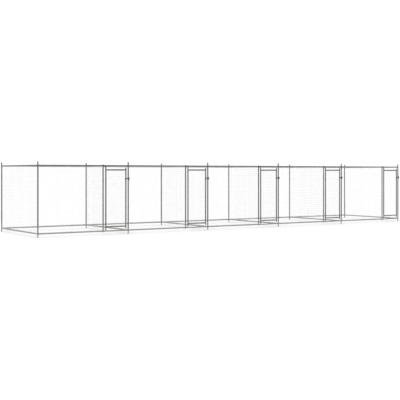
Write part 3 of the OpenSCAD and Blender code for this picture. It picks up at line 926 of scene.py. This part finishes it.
def keeper_hook():
    """The strip that leaves the plate under the bar and turns up in front of it."""
    bm = bmesh.new()
    floor_z = -BAR_HALF - HOOK_PLAY
    turn_y = -BAR_BACK - BAR_T - HOOK_PLAY + BEND_R
    middle_y = KEEPER_FRONT + KEEPER_T / 2
    bmesh.ops.create_grid(bm, x_segments=1, y_segments=1, size=0.5, matrix=(
        Matrix.Translation((KEEPER_RIGHT - HOOK_W / 2, middle_y, floor_z - KEEPER_T / 2))
        @ QUARTER_X @ Matrix.Diagonal((HOOK_W, KEEPER_T, 1, 1))))
    loop = push(bm, bm.edges[:], (0, turn_y - middle_y, 0))
    loop = bend(bm, loop, (0, turn_y, floor_z + BEND_R), (1, 0, 0), math.radians(-90))
    loop = push(bm, loop, (0, 0, HOOK_TOP - floor_z - BEND_R))
    cap_end(bm, loop, LIP_CORNER, 1)
    break_edges(bm, BREAK)
    return bm


hook = keeper_hook()
bm = bmesh.new()
for x in post_x[1:]:
    for shape in (plate, hook):
        place_copy(bm, shape, Matrix.Translation((x, FRONT_Y, LATCH_Z)))
plate.free()
hook.free()
keepers = make_piece("keeper_hooks", bm, LATCH_ZINC, "frame")
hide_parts("latch_keepers")
print("keepers:", len(post_x) - 1, "with", len(keepers.data.polygons), "faces")

# %% [markdown]
# ## Weld beads
# Each gate is four tubes welded at the corners, and the hinge pins, latch bosses and keepers are welded on.
# The CAD has a bare crease or a hairline gap there, and the bead is what covers it. Where one round tube
# meets another the bead follows a saddle curve. Its formula is short: a point on the branch that stands y
# off the main tube's axis plane touches the main tube at x = sqrt(R * R - y * y). So a torus is spun around
# the branch first, and each of its vertices is then slid along the branch by that much. The ripple of a
# hand-laid weld comes from swelling and thinning the bead as it goes.

# %% Beads round a branch
BEAD_R = 0.0026
BEAD_SIDES = 8
BEAD_STEPS = 72
RIPPLE = 0.16
RIPPLES = 24
RIPPLE_RATE = 2.6
TAPER_POWER = 6
THINNEST = 0.05
FEWEST_STEPS = 12
STEPS_PER_R = 2
SMALL_BEAD_R = 0.8 * BEAD_R


def saddle_bead(branch_r, main_r, bead_r):
    """A weld bead where a branch along +X meets a main tube along Z, both through the origin."""
    bm = bmesh.new()
    bmesh.ops.create_circle(bm, cap_ends=False, segments=BEAD_SIDES, radius=bead_r,
                            matrix=Matrix.Translation((0, branch_r, 0)))
    bmesh.ops.spin(bm, geom=bm.verts[:] + bm.edges[:], axis=(1, 0, 0), cent=(0, 0, 0), angle=math.tau,
                   steps=BEAD_STEPS, use_merge=True, use_duplicate=False)
    for vert in bm.verts:
        out = Vector((0, vert.co.y, vert.co.z))
        core = out.normalized() * branch_r
        turn = math.atan2(core.z, core.y)
        swell = 1 + RIPPLE * math.sin(RIPPLES * turn)
        vert.co = core + (vert.co - core) * swell
        vert.co.x += math.sqrt(max(main_r ** 2 - core.y ** 2, 0))
    return bm


def straight_bead(length, bead_r):
    """A weld bead along +Z, centred on the origin, rippled and tapered to its ends."""
    steps = max(FEWEST_STEPS, round(length / bead_r * STEPS_PER_R))
    bm = bmesh.new()
    bmesh.ops.create_circle(bm, cap_ends=False, segments=BEAD_SIDES, radius=bead_r,
                            matrix=Matrix.Translation((0, 0, -length / 2)))
    bmesh.ops.spin(bm, geom=bm.verts[:] + bm.edges[:], axis=(0, 0, 1), cent=(0, 0, 0), angle=0,
                   dvec=(0, 0, length / steps), steps=steps, use_merge=False, use_duplicate=False)
    for vert in bm.verts:
        along = 2 * vert.co.z / length
        taper = math.sqrt(max(1 - abs(along) ** TAPER_POWER, THINNEST))
        swell = taper * (1 + RIPPLE * math.sin(vert.co.z / bead_r * RIPPLE_RATE))
        vert.co.x *= swell
        vert.co.y *= swell
    bmesh.ops.holes_fill(bm, edges=[e for e in bm.edges if e.is_boundary], sides=BEAD_SIDES)
    return bm


corner_bead = saddle_bead(TUBE_R, TUBE_R, BEAD_R)
print("corner bead:", len(corner_bead.faces), "faces")

# %% [markdown]
# The beads go where the frame says. A gate's stiles are at the two ends of its frame's box and its rails
# lie one tube radius past its mesh. Each latch turns about a joint whose place the frame lists, the hinge
# pins are the loose solids of their own node, and each keeper has a bead down both sides of its saddle.

# %% Beads on the gates and the frame
BOSS_R = 0.009
TO_FRONT = Matrix.Rotation(math.radians(-90), 4, "Z")
TO_LEFT = Matrix.Rotation(math.pi, 4, "Z")
ON_RAIL = Matrix(((0, 0, 1, 0), (0, -1, 0, 0), (1, 0, 0, 0), (0, 0, 0, 1)))


def gate_rail_z(i):
    """The heights of a gate's lower and upper rail."""
    low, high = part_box(f"gate_mesh_{i}")
    return low.z - SEAT - TUBE_R, high.z + SEAT + TUBE_R


pin_bead = saddle_bead(PIN_R, TUBE_R, SMALL_BEAD_R)
boss_bead = saddle_bead(BOSS_R, TUBE_R, SMALL_BEAD_R)
for i in range(1, BAYS + 1):
    low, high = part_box(f"gate_frame_{i}")
    hinge_x, latch_x = low.x + TUBE_R, high.x - TUBE_R
    bm = bmesh.new()
    for z in gate_rail_z(i):
        place_copy(bm, corner_bead, Matrix.Translation((hinge_x, FRONT_Y, z)))
        place_copy(bm, corner_bead, Matrix.Translation((latch_x, FRONT_Y, z)) @ TO_LEFT)
    pivot = joints[f"latch_lift_{i}"]
    place_copy(bm, boss_bead, Matrix.Translation((latch_x, FRONT_Y, pivot.z)) @ TO_FRONT)
    make_piece(f"gate_welds_{i}", bm, WELD_ZINC, f"gate_{i}")

bm = bmesh.new()
for low, high in pins:
    upper = low.z > MID_Z
    rail_z = rail_crowns[upper] + TUBE_R if upper else rail_crowns[upper] - TUBE_R
    rail = Matrix.Translation(((low.x + high.x) / 2, FRONT_Y, rail_z))
    place_copy(bm, pin_bead, rail @ (UPSIDE_DOWN @ ON_RAIL if upper else ON_RAIL))
side_bead = straight_bead(KEEPER_TALL - 4 * BEAD_R, SMALL_BEAD_R)
reach = math.sqrt(TUBE_R ** 2 - KEEPER_LEFT ** 2)
for x in post_x[1:]:
    for side in (-1, 1):
        place_copy(bm, side_bead, Matrix.Translation((x + side * KEEPER_LEFT, FRONT_Y - reach, LATCH_Z)))
welds = make_piece("frame_welds", bm, WELD_ZINC, "frame")
for bead in (corner_bead, pin_bead, boss_bead, side_bead):
    bead.free()
print("welds on the frame:", len(welds.data.polygons), "faces")

# %% [markdown]
# ## Finishing the CAD pieces
# A CAD node whose shape is right only needs its finish. The material goes into the slots that the node
# brought along, so the mesh itself is never touched.

# %% Finishes on the CAD nodes


def finish_node(name, material):
    """Gives a CAD node one material in all its slots."""
    slots = nodes[name].data.materials
    for k in range(len(slots)):
        slots[k] = material


SLOT_FINISH = {
    "galvanised_tube": TUBE_ZINC,
    "galvanised_mesh": WIRE_ZINC,
    "tie_wire": RING_ZINC,
    "zinc_plated_fittings": FITTING_ZINC,
    "foot_plastic": FOOT_PLASTIC,
}
for part in frame["record"]["subparts"]:
    finish_node(part["node"], SLOT_FINISH[part["material_slot"]])

# %% [markdown]
# ## Checking against the photograph
# A render can look right and still be a few pixels off. So finished vertices are projected through the
# camera, with the lens and the shift that it has. The ray function goes the other way, from a pixel to a
# surface, and tells where on the steel a point of the photograph lies.

# %% From places to pixels and back


def to_pixels(co):
    """Pixel columns and rows of an array of places."""
    view = np.array(camera.matrix_world.inverted())
    local = co @ view[:3, :3].T + view[:3, 3]
    scale = LONG_SIDE * CAMERA_LENS / SENSOR_WIDTH
    x = PHOTO_W / 2 - SHIFT_X * LONG_SIDE + scale * local[:, 0] / -local[:, 2]
    y = PHOTO_H / 2 + SHIFT_Y * LONG_SIDE - scale * local[:, 1] / -local[:, 2]
    return np.stack([x, y], axis=1)


def shown_places(obj):
    """The finished vertices of an object, in the frame's metres."""
    done = obj.evaluated_get(bpy.context.evaluated_depsgraph_get())
    mesh = done.to_mesh()
    co = np.empty(len(mesh.vertices) * 3)
    mesh.vertices.foreach_get("co", co)
    done.to_mesh_clear()
    return co.reshape(-1, 3)


def on_surface(x, y, carrier):
    """Where the ray through a pixel meets a piece, or the piece's place nearest the ray on a miss."""
    graph = bpy.context.evaluated_depsgraph_get()
    tree = BVHTree.FromObject(carrier.evaluated_get(graph), graph)
    ray = Vector((x - PHOTO_W / 2 + SHIFT_X * LONG_SIDE, PHOTO_H / 2 - y + SHIFT_Y * LONG_SIDE,
                  -LONG_SIDE * CAMERA_LENS / SENSOR_WIDTH))
    start = camera.matrix_world.translation
    ray = (camera.matrix_world.to_3x3() @ ray).normalized()
    hit = tree.ray_cast(start, ray)[0]
    if hit is None:
        places = shown_places(carrier)
        along = (places - np.array(start)) @ np.array(ray)
        off = places - (np.array(start) + along[:, None] * np.array(ray))
        hit = Vector(places[int((off ** 2).sum(1).argmin())])
    return hit


bpy.context.view_layer.update()
print("first post's foot shows at", to_pixels(np.array([[post_x[0], FRONT_Y, 0.0]])).round(1).tolist())

# %% [markdown]
# The outline's points are compared with the outermost vertices that show. A feature's own point is the
# middle of what shows of it. How far each one is off in x and in y goes into a file, so that a wrong
# camera, or a wrong point, stands out as a row of large numbers.

# %% Measured points
shown = {o.name: shown_places(o) for o in bpy.context.scene.objects
         if o.type == "MESH" and not o.hide_render and o.name != floor.name}


for i, upper in ((1, True), (BAYS, False)):
    name = f"gate_{i}_top_rail" if upper else f"gate_{i}_bottom_rail"
    spot = on_surface(IMAGE_POINTS[name]["x"], IMAGE_POINTS[name]["y"], nodes[f"gate_frame_{i}"])
